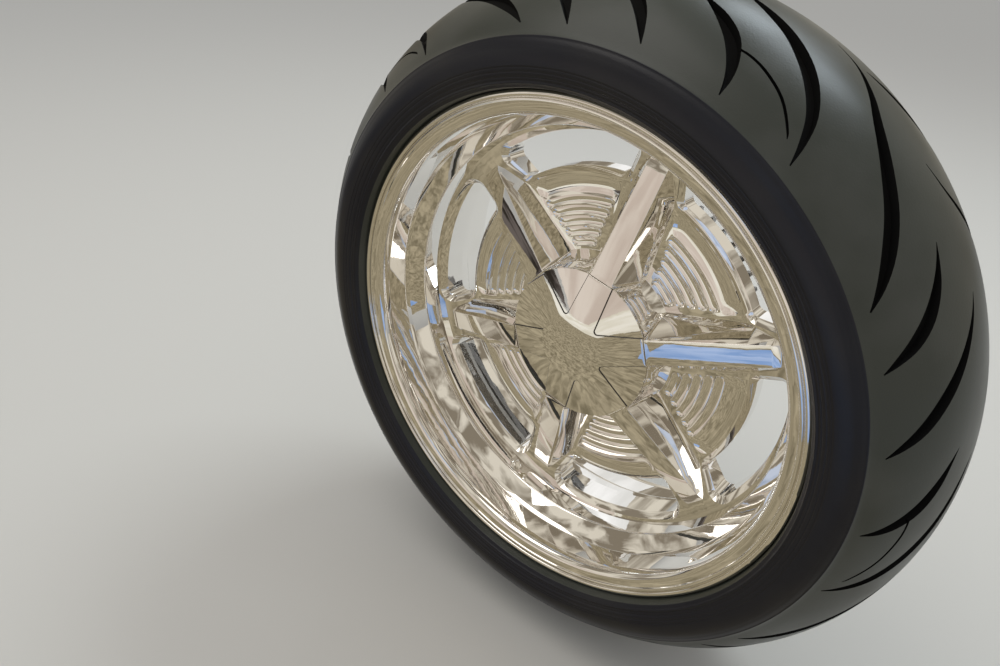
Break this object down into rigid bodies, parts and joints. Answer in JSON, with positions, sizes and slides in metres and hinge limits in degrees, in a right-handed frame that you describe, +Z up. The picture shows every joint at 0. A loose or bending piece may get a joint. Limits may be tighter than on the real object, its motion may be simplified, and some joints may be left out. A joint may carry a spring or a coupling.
{
  "type": "motorcycle rear wheel on its stub axle",
  "caption": "Wide rear wheel of a custom motorcycle: deep polished dish with ridged web, domed hub cap, tyre, brake disc and sprocket, turning on a bolt-on stub axle.",
  "frame": {"origin": "centre of the stub axle's mounting face", "axes": "+Y along the axle, out of the mounting face and away from the wheel; the dish faces -Y; +Z up; +X to the rear of the motorcycle"},
  "size_m": [0.6388, 0.257, 0.6386],
  "materials": {
    "tyre": "moulded, satin tread and duller side walls",
    "polished_alloy": "mirror polished",
    "hub_alloy": "turned and brushed",
    "sprocket_alloy": "hard anodised, satin",
    "bearing_steel": "ground",
    "disc_steel": "ground in rings",
    "bobbin_steel": "turned",
    "axle_steel": "turned and plated, satin",
    "valve_brass": "nickel plated",
    "weight_metal": "dull grey"
  },
  "bodies": {
    "axle": {"stub_axle": "axle_steel", "axle_nut": "axle_steel", "axle_spacer": "hub_alloy", "axle_flange": "axle_steel"},
    "wheel": {"tyre": "tyre", "rim_barrel": "polished_alloy", "wheel_centre": "polished_alloy", "hub_cap": "polished_alloy", "bearing_near": "bearing_steel", "bearing_far": "bearing_steel", "valve_stem": "valve_brass", "valve_cap": "valve_brass", "balance_weight": "weight_metal", "brake_disc": "disc_steel", "disc_carrier": "hub_alloy", "disc_bobbins": "bobbin_steel", "sprocket_drum": "hub_alloy", "sprocket": "sprocket_alloy"}
  },
  "joints": [
    {"name": "wheel_spin", "type": "hinge", "parent": "axle", "child": "wheel", "pos_m": [0, -0.148, 0], "axis": [0, -1, 0], "continuous": true}
  ]
}
